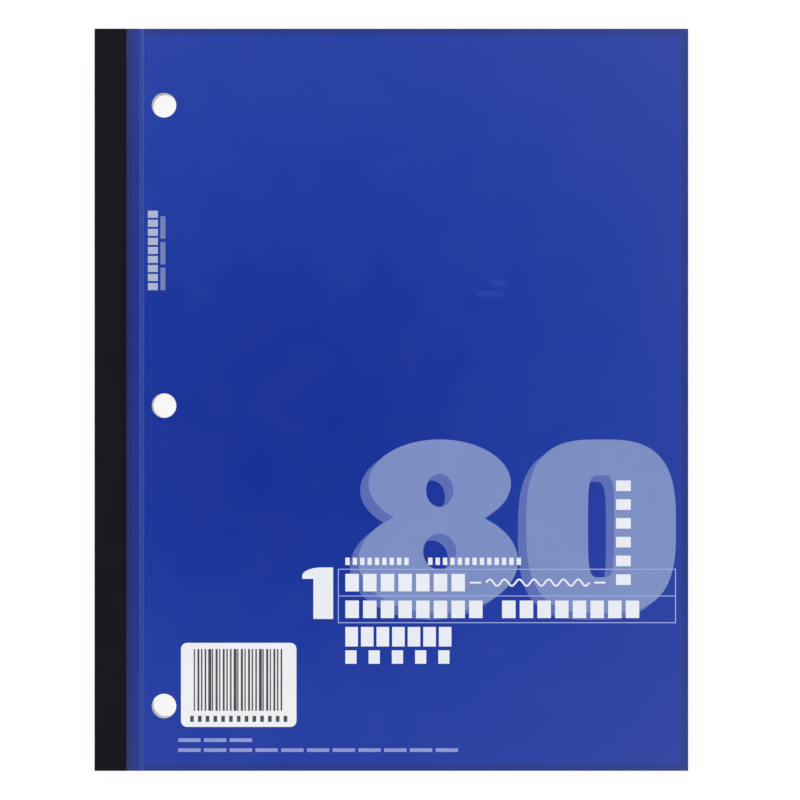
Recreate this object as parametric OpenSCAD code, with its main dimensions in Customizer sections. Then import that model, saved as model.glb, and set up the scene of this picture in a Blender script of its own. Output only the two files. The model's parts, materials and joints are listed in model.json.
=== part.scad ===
// Tape-bound one-subject notebook, lying on its back cover, in millimetres.
// X runs from the spine to the fore-edge, Y from the tail to the head, and Z up.
// The origin is the middle of the footprint, on the surface that the notebook lies on.

/* [Sheets] */
// Width of a sheet torn out along its perforation
sheet_w = 203.2; // [190:0.1:230]
// Height of a sheet
sheet_h = 266.7; // [245:0.1:300]
// Width of the bound stub between the spine and the perforation
stub_w = 10; // [8:0.1:14]
// Number of sheets
sheet_count = 80; // [50:1:150]
// Thickness of one sheet
sheet_t = 0.076; // [0.06:0.001:0.12]

/* [Covers] */
// Thickness of the cover card
cover_t = 0.4; // [0.35:0.01:0.8]
// Distance from the spine to the score line
score_in = 17; // [15:0.1:19]
// Width of the groove pressed along the score line
score_w = 1.8; // [1:0.1:2.4]
// Depth of the groove pressed along the score line
score_d = 0.12; // [0.05:0.01:0.2]
// Slit between the bound margin and the leaf that turns at the score line
hinge_gap = 0.2; // [0.1:0.05:0.4]

/* [Tape] */
// Thickness of the binding tape
tape_t = 0.18; // [0.12:0.01:0.25]
// Width of tape on each cover, from the spine
tape_lap = 11.5; // [9:0.1:13.5]
// Radius of the pressed edges of the spine, inside the tape
spine_r = 0.3; // [0.1:0.05:0.35]

/* [Ring holes] */
// Diameter of a ring hole
hole_d = 8.8; // [7:0.1:10]
// Distance from the spine to the middle of the ring holes
hole_in = 25; // [24.5:0.1:28]
// Distance from one ring hole to the next
hole_pitch = 107.95; // [95:0.05:112]
// Number of ring holes
hole_count = 3; // [2:1:3]
// How far the row of holes sits below the middle of the sheet
hole_drop = 2.1; // [0:0.1:4]

/* [Staples] */
// Number of side-stitch staples
staple_count = 4; // [2:1:6]
// Distance from the spine to the row of staples
staple_in = 5.8; // [4:0.1:7]
// Length of a staple's crown
staple_l = 12; // [10:0.5:16]
// Width of the flat staple wire
wire_w = 0.6; // [0.4:0.05:0.8]
// Thickness of the flat staple wire
wire_t = 0.3; // [0.2:0.02:0.34]
// Inside radius of the bends in the wire
wire_bend_r = 0.25; // [0.15:0.05:0.5]
// Straight length of a clinched leg
clinch_l = 4; // [2:0.5:4.5]
// Play between the wire and the paper
wire_gap = 0.02; // [0.01:0.01:0.05]

/* [Large figures] */
// Thickness of every ink film
ink_t = 0.03; // [0.02:0.01:0.05]
// Height of the large figures
figure_h = 62.4; // [50:0.1:75]
// Distance from the tail to the foot of the large figures
figure_up = 56.7; // [54:0.1:70]
// Distance from the fore-edge to the large figures and the title frame
print_edge = 4.4; // [2:0.1:10]
// Width of the nought
nought_w = 53.8; // [45:0.1:56]
// How square the nought is, where 2 is an ellipse
nought_square = 3; // [2:0.1:4]
// How square the slot in the nought is
slot_square = 4.5; // [2:0.1:8]
// Width of the slot in the nought
slot_w = 9.4; // [6:0.1:12]
// Height of the slot in the nought
slot_h = 36.7; // [25:0.1:42]
// Space between the two large figures
figure_gap = 3; // [1:0.1:8]
// Width of the upper lobe of the eight
head_lobe_w = 51.2; // [40:0.1:56]
// Height of the upper lobe of the eight
head_lobe_h = 31.6; // [30:0.1:40]
// How far the upper lobe and both eyes lie towards the fore-edge from the lower lobe's middle
head_lobe_x = 0.6; // [0:0.1:2]
// Width of the lower lobe of the eight
foot_lobe_w = 57.4; // [45:0.1:60]
// Height of the lower lobe of the eight
foot_lobe_h = 37.5; // [34:0.1:42]
// Width of the eye in the upper lobe
head_eye_w = 9.8; // [6:0.1:14]
// Height of the eye in the upper lobe
head_eye_h = 11.9; // [8:0.1:14]
// How far the upper eye sits below the middle of its lobe
head_eye_drop = 2.5; // [0:0.1:4]
// Width of the eye in the lower lobe
foot_eye_w = 11.9; // [6:0.1:16]
// Height of the eye in the lower lobe
foot_eye_h = 12.9; // [8:0.1:16]
// How far the lower eye sits above the middle of its lobe
foot_eye_rise = 3.3; // [0:0.1:5]
// Shift of the shade towards the spine
shade_x = 3; // [1:0.1:5]
// Shift of the shade towards the tail
shade_y = 2.4; // [1:0.1:5]

/* [Title frame] */
// Width of the title frame
frame_w = 121.5; // [116:0.1:126]
// Distance from the tail to the title frame
frame_up = 53.1; // [52:0.1:56]
// Pitch of the rows in the title frame
row_pitch = 9.6; // [8.6:0.1:11]
// Width of the frame's rules
rule_w = 0.3; // [0.15:0.05:0.8]
// Height of the small figure in front of the frame
one_h = 18.5; // [16:0.1:22]
// Width of the small figure
one_w = 11.1; // [10:0.1:13]
// Width of the small figure's stem
stem_w = 7.1; // [5:0.1:9]
// Thickness of the small figure's flag
flag_t = 4.1; // [3.2:0.1:5]
// How far the flag's outer end drops
flag_drop = 3; // [0.5:0.1:3]
// Length of the curve along which the flag drops
flag_r = 7; // [4:0.1:9]
// Space between the small figure and the frame
one_gap = 1.7; // [0.5:0.1:2.5]
// How far the small figure stands above the foot of the frame
one_up = 1.5; // [0:0.1:3]

/* [Title rows] */
// Space between the frame and the first block of a row
row_inset = 2.7; // [1:0.1:4]
// Height of the blocks in the frame's rows
block_h = 6.3; // [4:0.1:7.5]
// Pitch of the blocks in the frame's rows
block_pitch = 6.35; // [5:0.05:6.4]
// Space between two blocks in the frame's rows
block_gap = 1.5; // [0.4:0.1:2]
// Space between two words in the frame's rows
word_gap = 7; // [4:0.1:8]
// Height of the wavy line after the upper word
wave_h = 3; // [2:0.1:4]
// Length of one wave
wave_pitch = 5.3; // [4:0.1:5.6]
// Thickness of the wavy line and of the dash at each of its ends
wave_t = 0.65; // [0.3:0.05:0.7]
// Length of the dash at each end of the wavy line
wave_dash = 4; // [2:0.1:5]
// Space between the wavy line and a dash
wave_gap = 1.8; // [1:0.1:3]
// Height of the fine row above the frame
fine_h = 2.6; // [1.5:0.1:3]
// Pitch of the marks in the fine row
fine_pitch = 2.65; // [2:0.05:2.8]
// Space between two marks in the fine row
fine_gap = 1.1; // [0.4:0.1:1.4]
// Space between the two words in the fine row
fine_word_gap = 5.9; // [4:0.1:8]
// Height of the heavy row below the frame
heavy_h = 7; // [5:0.1:8]
// Pitch of the blocks in the heavy row
heavy_pitch = 5.6; // [4.5:0.1:6.5]
// Space between two blocks in the heavy row
heavy_gap = 1.1; // [0.3:0.1:1.8]
// Height of the spaced row below the heavy one
spaced_h = 4.8; // [3:0.1:6]
// Pitch of the blocks in the spaced row
spaced_pitch = 8.35; // [7:0.05:9]
// Width of a block in the spaced row
spaced_w = 4; // [3:0.1:5.5]
// Space above each row below the frame
row_gap = 1.4; // [0.8:0.1:2]

/* [Block column] */
// Distance from the fore-edge to the middle of the block column
column_edge = 23.3; // [20:0.1:26]
// Width of a block in the column
column_w = 5.3; // [4:0.1:7]
// Height of a block in the column
column_h = 3.8; // [3:0.1:5]
// Pitch of the blocks in the column
column_pitch = 6.75; // [5.5:0.05:7]
// Number of blocks in the column
column_count = 6; // [3:1:8]
// How far the lowest block stands above the middle rule of the frame
column_up = 3.8; // [1:0.1:5]

/* [Code panel] */
// Width of the white panel
panel_w = 41.5; // [36:0.1:48]
// Height of the white panel
panel_h = 30.2; // [26:0.1:34]
// Corner radius of the white panel
panel_r = 2.2; // [0.5:0.1:4]
// Distance from the tail to the white panel
panel_up = 15.8; // [14:0.1:18]
// Bare space between the row of ring holes and the white panel, and the least beyond it
panel_gap = 1.7; // [0.8:0.1:3]
// Bare border of the panel beside the stripes
stripe_side = 4.6; // [3:0.1:6]
// Bare border of the panel above the stripes
stripe_top = 2.2; // [1.5:0.1:4]
// Space between the panel's foot and the stripes
stripe_up = 5.8; // [5:0.1:8]
// Pitch of the stripes
stripe_pitch = 1.3; // [1.2:0.05:2]
// Height of the marks below the stripes
tick_h = 2.2; // [1:0.1:2.6]
// Pitch of the marks below the stripes
tick_pitch = 2.8; // [2:0.1:4]
// Width of a mark below the stripes
tick_w = 1.3; // [0.8:0.1:1.8]

/* [Small print] */
// Thickness of the two lines of small print near the tail
small_h = 1.3; // [0.6:0.1:1.6]
// Distance from the tail to the lower line of small print
small_up = 6.8; // [4:0.1:8]
// How far the two lines start outside the panel
small_out = 1; // [0:0.1:2]
// Pitch of the two lines of small print
small_line_pitch = 3.6; // [2.5:0.1:5]
// Pitch of the dashes that make up a line of small print
dash_pitch = 9.25; // [6:0.05:10]
// Space between two dashes
dash_gap = 1.2; // [0.5:0.1:2]
// Space between the score line's groove and the print beside it
side_gap = 1.3; // [0.8:0.1:2]
// Thickness of the heavy line of print beside the score
side_heavy_h = 3.6; // [2:0.1:4]
// Pitch of the blocks in that heavy line
side_pitch = 3.25; // [2.5:0.05:4]
// Space between two blocks in that heavy line
side_block_gap = 0.7; // [0.4:0.1:1.2]
// Space between the heavy and the light line beside the score
side_line_gap = 0.9; // [0.8:0.1:2]
// Thickness of the light line of print beside the score
side_light_h = 1.8; // [0.6:0.1:2]
// How far above the middle of the row of ring holes that print starts
side_up = 41.5; // [30:0.1:50]

/* [Hidden] */
// The whole notebook
book_w = stub_w + sheet_w + tape_t;
block_t = sheet_count * sheet_t;
book_t = block_t + 2 * (cover_t + tape_t);
spine_x = -book_w / 2;
fore_x = book_w / 2;
tail_y = -sheet_h / 2;

// Heights at which the layers meet
back_z = tape_t;
block_z = back_z + cover_t;
front_z = block_z + block_t;
print_z = front_z + cover_t;

// Places that more than one piece uses
bound_x = spine_x + tape_t;
score_x = spine_x + score_in;
lap_x = spine_x + tape_lap;
hole_x = spine_x + hole_in;
hole_y = [for (i = [0 : hole_count - 1]) (i - (hole_count - 1) / 2) * hole_pitch - hole_drop];
staple_x = spine_x + staple_in;
staple_y = [for (i = [0 : staple_count - 1]) tail_y + sheet_h * (i + 0.5) / staple_count];

// Places of the print
print_x = fore_x - print_edge;
nought_x = print_x - nought_w / 2;
eight_x = print_x - nought_w - figure_gap - foot_lobe_w / 2;
figure_y = tail_y + figure_up;
frame_x = print_x - frame_w;
frame_y = tail_y + frame_up;
frame_h = 2 * row_pitch + rule_w;
text_x = frame_x + row_inset;
column_x = fore_x - column_edge;
panel_x = hole_x + hole_d / 2 + panel_gap;
panel_y = tail_y + panel_up;

// The rows below the frame line up with its own rows, clear of the panel beside them
rows_x = max(text_x, panel_x + panel_w + panel_gap);

// Numbers of blocks and marks in the rows of print
upper_word = 7;
lower_word = 8;
wave_count = 7;
fine_words = [9, 13];
heavy_count = 7;
spaced_count = 5;
small_dashes = [11, 3];
side_blocks = 9;
side_dashes = 3;
stripe_fill = [0.35, 0.55, 0.4, 0.45, 0.85, 0.35, 0.6];

// Steps in a figure's outline, in a round corner and in a wave, and how far a cutter overshoots
curve_steps = 72;
corner_steps = 8;
wave_steps = 12;
overcut = 1;

// Points on an arc about [x, y], from angle a to angle b
function arc(x, y, r, a, b) = [
    for (i = [0 : corner_steps])
        let (t = a + (b - a) * i / corner_steps)
        [x + r * cos(t), y + r * sin(t)]
];

// Outline of an oval, where a squareness of 2 is an ellipse and more fills its corners
function signed_power(v, p) = sign(v) * pow(abs(v), p);
function oval(w, h, squareness) = [
    for (i = [0 : curve_steps - 1])
        let (t = 360 * (i + 0.5) / curve_steps, p = 2 / squareness)
        [w / 2 * signed_power(cos(t), p), h / 2 * signed_power(sin(t), p)]
];

// One edge of the wavy line, on the side that the sign of half its thickness gives
function wave_edge(half_t) = [
    for (i = [0 : wave_count * wave_steps])
        let (
            t = 360 * i / wave_steps,
            rise = (wave_h - wave_t) / 2,
            slope = 2 * PI * rise / wave_pitch * cos(t),
            across = half_t / sqrt(1 + slope * slope)
        )
        [i * wave_pitch / wave_steps - slope * across, rise * sin(t) + across]
];
function backwards(points) = [for (i = [len(points) - 1 : -1 : 0]) points[i]];

// A profile drawn in X and Z, run along the whole height of the sheet
module along_spine() {
    rotate([90, 0, 0])
        linear_extrude(sheet_h, center = true)
            children();
}

// The same piece on the other face of the notebook
module on_back() {
    translate([0, 0, book_t])
        mirror([0, 0, 1])
            children();
}

// An ink film of a flat shape, lying on the front cover or on an ink below it
module ink(layer = 0) {
    translate([0, 0, print_z + layer * ink_t])
        linear_extrude(ink_t)
            children();
}

// Cuts a flat shape out of the film that lies on the front cover
module knock_out() {
    translate([0, 0, print_z - overcut])
        linear_extrude(ink_t + 2 * overcut)
            children();
}

// A row of like blocks, from its lower left corner
module blocks(count, pitch, gap, h) {
    for (i = [0 : count - 1])
        translate([i * pitch, 0])
            square([pitch - gap, h]);
}

// A quarter turn of the flat wire, from the Y axis round to the Z axis
module wire_bend(play) {
    rotate([90, 0, 90])
        rotate_extrude(angle = 90, $fn = 48)
            translate([wire_bend_r - play, 0])
                square([wire_t + 2 * play, wire_w + 2 * play]);
}

// Half the crown, one leg and its clinch, grown all round by the play
module half_staple(play) {
    bend = wire_bend_r + wire_t;
    leg_y = staple_l / 2;
    wide = wire_w + 2 * play;
    thick = wire_t + 2 * play;
    translate([-wide / 2, 0, 0]) {
        translate([0, 0, print_z - wire_t - play])
            cube([wide, leg_y - bend, thick]);
        translate([0, leg_y - bend, print_z - bend])
            wire_bend(play);
        translate([0, leg_y - wire_t - play, back_z + bend])
            cube([wide, thick, print_z - back_z - 2 * bend]);
        translate([0, leg_y - bend, back_z + bend])
            rotate([-90, 0, 0])
                wire_bend(play);
        translate([0, leg_y - bend - clinch_l - play, back_z - play])
            cube([wide, clinch_l + play, thick]);
    }
}

module staple_row(play) {
    for (y = staple_y)
        translate([staple_x, y, 0]) {
            half_staple(play);
            mirror([0, 1, 0]) half_staple(play);
        }
}

module ring_holes() {
    for (y = hole_y)
        translate([hole_x, y, -overcut])
            cylinder(d = hole_d, h = book_t + 2 * overcut, $fn = 64);
}

// The leaf of the front cover, with its half of the groove pressed along the score
module leaf() {
    difference() {
        along_spine()
            polygon([
                [score_x + hinge_gap / 2, front_z],
                [fore_x, front_z],
                [fore_x, print_z],
                [score_x + score_w / 2, print_z],
                [score_x + hinge_gap / 2, print_z - score_d]
            ]);
        ring_holes();
    }
}

// The bound margin of the front cover, with its spine edge pressed round
module bound_margin() {
    along_spine()
        polygon(concat(
            arc(bound_x + spine_r, print_z - spine_r, spine_r, 90, 180),
            [
                [bound_x, front_z],
                [score_x - hinge_gap / 2, front_z],
                [score_x - hinge_gap / 2, print_z - score_d],
                [score_x - score_w / 2, print_z]
            ]
        ));
}

module page_block() {
    color("#f3f1ea")
    difference() {
        translate([bound_x, tail_y, block_z])
            cube([fore_x - bound_x, sheet_h, block_t]);
        ring_holes();
        staple_row(wire_gap);
    }
}

module front_cover() {
    color("#22389a")
    leaf();
}

// The staples' crowns lie flush in this margin
module front_cover_strip() {
    color("#28388e")
    difference() {
        bound_margin();
        staple_row(wire_gap);
    }
}

module back_cover() {
    color("#22389a")
    on_back() leaf();
}

// The staples' clinched legs lie flush in this margin
module back_cover_strip() {
    color("#28388e")
    difference() {
        on_back() bound_margin();
        staple_row(wire_gap);
    }
}

module binding_tape() {
    outer_r = spine_r + tape_t;
    color("#1a1a1c")
    along_spine()
        polygon(concat(
            [[lap_x, book_t]],
            arc(spine_x + outer_r, book_t - outer_r, outer_r, 90, 180),
            arc(spine_x + outer_r, outer_r, outer_r, 180, 270),
            [[lap_x, 0], [lap_x, tape_t]],
            arc(bound_x + spine_r, tape_t + spine_r, spine_r, 270, 180),
            arc(bound_x + spine_r, book_t - tape_t - spine_r, spine_r, 180, 90),
            [[lap_x, book_t - tape_t]]
        ));
}

module staples() {
    color("#b9bcc0")
    staple_row(0);
}

// The two lobes of the eight overlap at its waist, and each has its own eye
module eight() {
    head_y = figure_h - head_lobe_h / 2;
    foot_y = foot_lobe_h / 2;
    difference() {
        union() {
            translate([head_lobe_x, head_y]) polygon(oval(head_lobe_w, head_lobe_h, 2));
            translate([0, foot_y]) polygon(oval(foot_lobe_w, foot_lobe_h, 2));
        }
        translate([head_lobe_x, head_y - head_eye_drop])
            polygon(oval(head_eye_w, head_eye_h, 2));
        translate([head_lobe_x, foot_y + foot_eye_rise])
            polygon(oval(foot_eye_w, foot_eye_h, 2));
    }
}

module nought() {
    translate([0, figure_h / 2])
        difference() {
            polygon(oval(nought_w, figure_h, nought_square));
            polygon(oval(slot_w, slot_h, slot_square));
        }
}

module large_figures() {
    translate([eight_x, figure_y]) eight();
    translate([nought_x, figure_y]) nought();
}

// A straight stem with a flag, whose top falls away in a quarter of an ellipse
module one() {
    flag_w = one_w - stem_w;
    polygon(concat(
        [[flag_w, 0], [one_w, 0], [one_w, one_h]],
        [for (i = [0 : corner_steps])
            let (t = 90 + 90 * i / corner_steps)
            [flag_r + flag_r * cos(t), one_h - flag_drop + flag_drop * sin(t)]],
        [[0, one_h - flag_t], [flag_w, one_h - flag_t]]
    ));
}

module title_frame() {
    difference() {
        square([frame_w, frame_h]);
        for (i = [0, 1])
            translate([rule_w, rule_w + i * row_pitch])
                square([frame_w - 2 * rule_w, row_pitch - rule_w]);
    }
}

// The wavy line and its two dashes, from the middle of the left end
module wavy_line() {
    wave_x = wave_dash + wave_gap;
    wave_l = wave_count * wave_pitch;
    translate([0, -wave_t / 2])
        blocks(2, wave_x + wave_l + wave_gap, wave_l + 2 * wave_gap, wave_t);
    translate([wave_x, 0])
        polygon(concat(wave_edge(wave_t / 2), backwards(wave_edge(-wave_t / 2))));
}

// Two words of blocks in the lower row, and in the upper row one word and a wavy line
module title_words() {
    row_y = (row_pitch + rule_w - block_h) / 2;
    word_l = lower_word * block_pitch - block_gap;
    translate([0, row_y]) {
        blocks(lower_word, block_pitch, block_gap, block_h);
        translate([word_l + word_gap, 0])
            blocks(lower_word, block_pitch, block_gap, block_h);
        translate([0, row_pitch])
            blocks(upper_word, block_pitch, block_gap, block_h);
    }
    translate([upper_word * block_pitch - block_gap + wave_gap, (3 * row_pitch + rule_w) / 2])
        wavy_line();
}

// Two words of fine marks
module fine_row() {
    blocks(fine_words[0], fine_pitch, fine_gap, fine_h);
    translate([fine_words[0] * fine_pitch + fine_word_gap, 0])
        blocks(fine_words[1], fine_pitch, fine_gap, fine_h);
}

// The heavy row and the spaced row, from the foot of the frame down
module lower_rows() {
    heavy_y = -row_gap - heavy_h;
    translate([0, heavy_y])
        blocks(heavy_count, heavy_pitch, heavy_gap, heavy_h);
    translate([0, heavy_y - row_gap - spaced_h])
        blocks(spaced_count, spaced_pitch, spaced_pitch - spaced_w, spaced_h);
}

// The blocks of the column climb from the frame's upper row
module block_column() {
    foot_y = frame_y + row_pitch + rule_w + column_up;
    for (i = [0 : column_count - 1])
        translate([column_x - column_w / 2, foot_y + i * column_pitch])
            square([column_w, column_h]);
}

module title() {
    translate([frame_x - one_gap - one_w, frame_y + one_up]) one();
    translate([frame_x, frame_y]) title_frame();
    translate([text_x, frame_y]) title_words();
    translate([text_x, frame_y + frame_h + row_gap]) fine_row();
    translate([rows_x, frame_y]) lower_rows();
    block_column();
}

module figure_print() {
    color("#8090c6")
    difference() {
        ink() large_figures();
        knock_out() title();
    }
}

// What shows of the shifted shade beside the large figures
module figure_shade() {
    color("#6374b2")
    difference() {
        ink() translate([-shade_x, -shade_y]) large_figures();
        knock_out() large_figures();
        knock_out() title();
    }
}

module title_print() {
    color("#f1f3fa")
    ink() title();
}

// Two lines under the panel, and two beside the score that read upwards
module small_print() {
    color("#e4e8f8")
    ink() {
        for (i = [0, 1])
            translate([panel_x - small_out, tail_y + small_up + i * small_line_pitch])
                blocks(small_dashes[i], dash_pitch, dash_gap, small_h);
        translate([score_x + score_w / 2 + side_gap + side_heavy_h, side_up - hole_drop])
            rotate(90) {
                blocks(side_blocks, side_pitch, side_block_gap, side_heavy_h);
                translate([0, -side_line_gap - side_light_h])
                    blocks(side_dashes, dash_pitch, dash_gap, side_light_h);
            }
    }
}

module code_panel() {
    color("#f4f5f7")
    ink()
        translate([panel_x, panel_y])
            polygon(concat(
                arc(panel_r, panel_r, panel_r, 180, 270),
                arc(panel_w - panel_r, panel_r, panel_r, 270, 360),
                arc(panel_w - panel_r, panel_h - panel_r, panel_r, 0, 90),
                arc(panel_r, panel_h - panel_r, panel_r, 90, 180)
            ));
}

// Stripes whose widths repeat in a plain rhythm, over a row of like marks
module code_bars() {
    stripe_h = panel_h - stripe_top - stripe_up;
    stripe_count = round((panel_w - 2 * stripe_side) / stripe_pitch);
    tick_count = floor((panel_w - 2 * panel_r) / tick_pitch);
    tick_x = (panel_w - tick_count * tick_pitch + tick_pitch - tick_w) / 2;
    color("#4b4d52")
    ink(1)
        translate([panel_x, panel_y]) {
            for (i = [0 : stripe_count - 1])
                translate([stripe_side + i * stripe_pitch, stripe_up])
                    square([stripe_pitch * stripe_fill[i % len(stripe_fill)], stripe_h]);
            translate([tick_x, (stripe_up - tick_h) / 2])
                blocks(tick_count, tick_pitch, tick_pitch - tick_w, tick_h);
        }
}

page_block();
front_cover();
front_cover_strip();
back_cover();
back_cover_strip();
binding_tape();
staples();
figure_print();
figure_shade();
title_print();
small_print();
code_panel();
code_bars();
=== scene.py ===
"""Looks of a tape-bound notebook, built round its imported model. All lengths are in metres."""

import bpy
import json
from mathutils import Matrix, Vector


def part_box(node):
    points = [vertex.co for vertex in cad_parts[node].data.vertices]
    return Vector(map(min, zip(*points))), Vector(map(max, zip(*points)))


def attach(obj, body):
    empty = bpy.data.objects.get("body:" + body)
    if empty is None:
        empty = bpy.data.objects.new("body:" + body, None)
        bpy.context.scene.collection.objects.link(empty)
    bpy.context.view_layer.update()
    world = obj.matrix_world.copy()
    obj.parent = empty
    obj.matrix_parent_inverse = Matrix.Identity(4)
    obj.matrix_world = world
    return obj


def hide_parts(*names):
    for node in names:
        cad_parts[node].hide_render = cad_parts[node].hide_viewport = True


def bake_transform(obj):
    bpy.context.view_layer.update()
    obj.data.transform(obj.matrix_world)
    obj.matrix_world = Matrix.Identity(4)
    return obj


bl_info = {
    "name": "Taped Notebook",
    "version": (1, 0, 0),
    "blender": (4, 5, 0),
    "location": "View3D > Sidebar > Notebook",
    "description": "Dresses a tape-bound notebook in coated card, cut sheets, cloth tape and ink",
    "category": "Mesh",
}

import json
import math
import random

import bmesh
import bpy
from mathutils import Matrix, Vector

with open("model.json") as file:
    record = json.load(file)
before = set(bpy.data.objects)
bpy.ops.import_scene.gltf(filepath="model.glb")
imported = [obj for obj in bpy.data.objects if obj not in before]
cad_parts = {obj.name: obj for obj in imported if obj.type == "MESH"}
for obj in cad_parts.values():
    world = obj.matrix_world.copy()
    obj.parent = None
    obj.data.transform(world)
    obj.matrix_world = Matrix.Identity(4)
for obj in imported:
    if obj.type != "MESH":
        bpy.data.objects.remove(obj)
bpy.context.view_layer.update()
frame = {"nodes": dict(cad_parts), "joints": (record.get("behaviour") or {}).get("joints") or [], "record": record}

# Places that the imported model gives
MM = 0.001
TINY = 1e-6
NODES = frame["nodes"]
JOINTS = {joint["name"]: joint for joint in frame["joints"]}
RING_HOLES = [m for m in frame["record"]["mounts"] if m["name"].startswith("ring_hole")]
SCORE_X = JOINTS["front_cover_fold"]["pos_m"][0]
BLOCK_LOW, BLOCK_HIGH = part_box("page_block")
TAPE_LOW, TAPE_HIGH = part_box("binding_tape")
LEAF_LOW, LEAF_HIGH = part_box("front_cover")
TITLE_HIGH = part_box("title_print")[1]
PRINT_Z = LEAF_HIGH.z
TAIL_Y = LEAF_LOW.y
HEAD_Y = LEAF_HIGH.y

# The attribute that keeps where each point of a bending piece lies at rest
REST_PLACE = "rest_place"

# Sides of each ring hole
HOLE_SIDES = 96

# Two faint lighter dashes on the front leaf: place across and along, reach across and along, in millimetres
FAINT_DASHES = ((39.0, 42.1, 2.4, 0.9), (35.3, 38.0, 4.2, 0.7))

# Over which such a dash fades across and along, in millimetres, and its strength at its middle
DASH_FADE = (1.2, 0.8)
DASH_STRENGTH = 0.6

# Painted sheen: the blue is deepest round this middle and lighter beyond it. Its middle and its reach, across and
# along, in millimetres
SHEEN_MIDDLE = (-45, -10)
SHEEN_REACH = (120, 100)


def number(name, description, default, **more):
    """A plain number."""
    return bpy.props.FloatProperty(name=name, description=description, default=default, **more)


def length(name, description, millimetres):
    """A length that is written in millimetres and kept in metres."""
    return number(name, description, millimetres * MM, min=0, precision=5, unit="LENGTH")


def colour(name, description, default):
    """A linear colour."""
    return bpy.props.FloatVectorProperty(
        name=name, description=description, default=default, size=3, min=0, max=1, subtype="COLOR"
    )


def share(name, description, default):
    """A number from nought to one."""
    return number(name, description, default, min=0, max=1)


class CardSettings(bpy.types.PropertyGroup):
    """The coated card of both covers."""

    coat: colour("Coat", "Blue of the coated side", (0.0035, 0.0245, 0.300))
    coat_light: colour("Light coat", "Blue where the ink lies thinner", (0.0055, 0.0285, 0.310))
    # Painted sheen: a lighter blue towards the corners of the leaf
    coat_far: colour("Far coat", "Blue towards the corners of the leaf", (0.0060, 0.0370, 0.350))
    # Painted shade: a deeper, greyer blue along the head, tail and fore-edge
    coat_rim: colour("Coat at the rim", "Blue along the head, tail and fore-edge", (0.0085, 0.0305, 0.225))
    rim_start: length("Start of the rim", "From the outline to where the blue begins to deepen", 3.4)
    rim_full: length("Full rim", "From the outline to where the blue is deepest", 1.2)
    # Partly the coat worn where the score was pressed, partly a painted highlight along its groove
    pressed: colour("Pressed coat", "Blue along the pressed score", (0.006, 0.032, 0.308))
    # Painted shade over the margin between the tape and the score
    shaded: colour("Margin coat", "Blue of the margin between the tape and the score", (0.009, 0.029, 0.245))
    # Painted shadow of the tape, in a band beside its edge
    fringe: colour("Tape fringe", "Blue beside the edge of the tape", (0.010, 0.0255, 0.137))
    rubbed: colour("Rubbed coat", "Where the coat is rubbed", (0.018, 0.058, 0.385))
    board: colour("Board", "Bare side and cut edges of the card", (0.74, 0.72, 0.66))
    speck: colour("Specks", "Specks in the board", (0.30, 0.26, 0.20))
    gloss: share("Coat roughness", "Roughness of the coated side", 0.18)
    score_reach: length("Reach of the score", "Half the width that the pressed blue fills", 0.6)
    score_edge: length("Edge of the score", "Over which the pressed blue fades", 0.5)
    fringe_in: length("Fringe place", "From the tape's edge to the middle of the fringe", 0.9)
    fringe_reach: length("Fringe reach", "Half the width of the fringe, and over which it fades", 0.6)
    margin_reach: length("Margin reach", "Half the width of the margin's deeper blue", 3.2)
    margin_edge: length("Margin edge", "Over which the margin's deeper blue fades", 1.2)
    rubbed_reach: length("Rubbed reach", "How far in from the outline the coat is rubbed", 0.5)
    groove_flat: length("Flat of the groove", "From the score's middle to where its side rises", 0.1)
    groove_reach: length("Reach of the groove", "From the score's middle to the flat card", 0.9)
    groove_depth: length("Depth of the groove", "How deep the score is pressed", 0.10)
    bend_step: length("Bend step", "Distance between the lines that the card bends along", 0.05)
    rim: length("Rim", "Width of the softened cut edges", 0.03)


class SheetSettings(bpy.types.PropertyGroup):
    """The sheets of the page block."""

    count: bpy.props.IntProperty(name="Sheets", description="Number of sheets", default=80, min=1)
    scatter: length("Trim scatter", "How unevenly the sheets are trimmed", 0.05)
    paper: colour("Paper", "White of the sheets", (0.85, 0.85, 0.82))
    edge_dark: colour("Edge shade", "Darkest streak on the cut edges", (0.70, 0.69, 0.65))
    rule: colour("Ruled line", "Blue of the ruled lines", (0.42, 0.56, 0.78))
    margin: colour("Margin line", "Red of the margin line", (0.78, 0.36, 0.38))
    rule_pitch: length("Rule pitch", "Distance between two ruled lines", 7.1)
    rule_width: length("Rule width", "Width of a ruled line", 0.25)
    rule_top: length("Head margin", "From the head to the first ruled line", 33)
    rule_foot: length("Foot margin", "From the tail to where the ruled lines end", 13)
    margin_in: length("Margin place", "From the spine to the margin line", 41.9)


class TapeSettings(bpy.types.PropertyGroup):
    """The cloth tape round the spine."""

    cloth: colour("Cloth", "Black of the threads", (0.0046, 0.0048, 0.0066))
    gap: colour("Between threads", "Black between the threads", (0.0020, 0.0021, 0.0028))
    thread_pitch: length("Thread pitch", "Distance between two threads", 0.42)
    corner: length("Corner radius", "Outside radius where the tape turns round the spine", 0.48)
    corner_steps: bpy.props.IntProperty(
        name="Corner steps", description="Steps in each quarter turn", default=12, min=2
    )
    rim: length("Rim", "Width of the softened long edges", 0.04)


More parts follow.
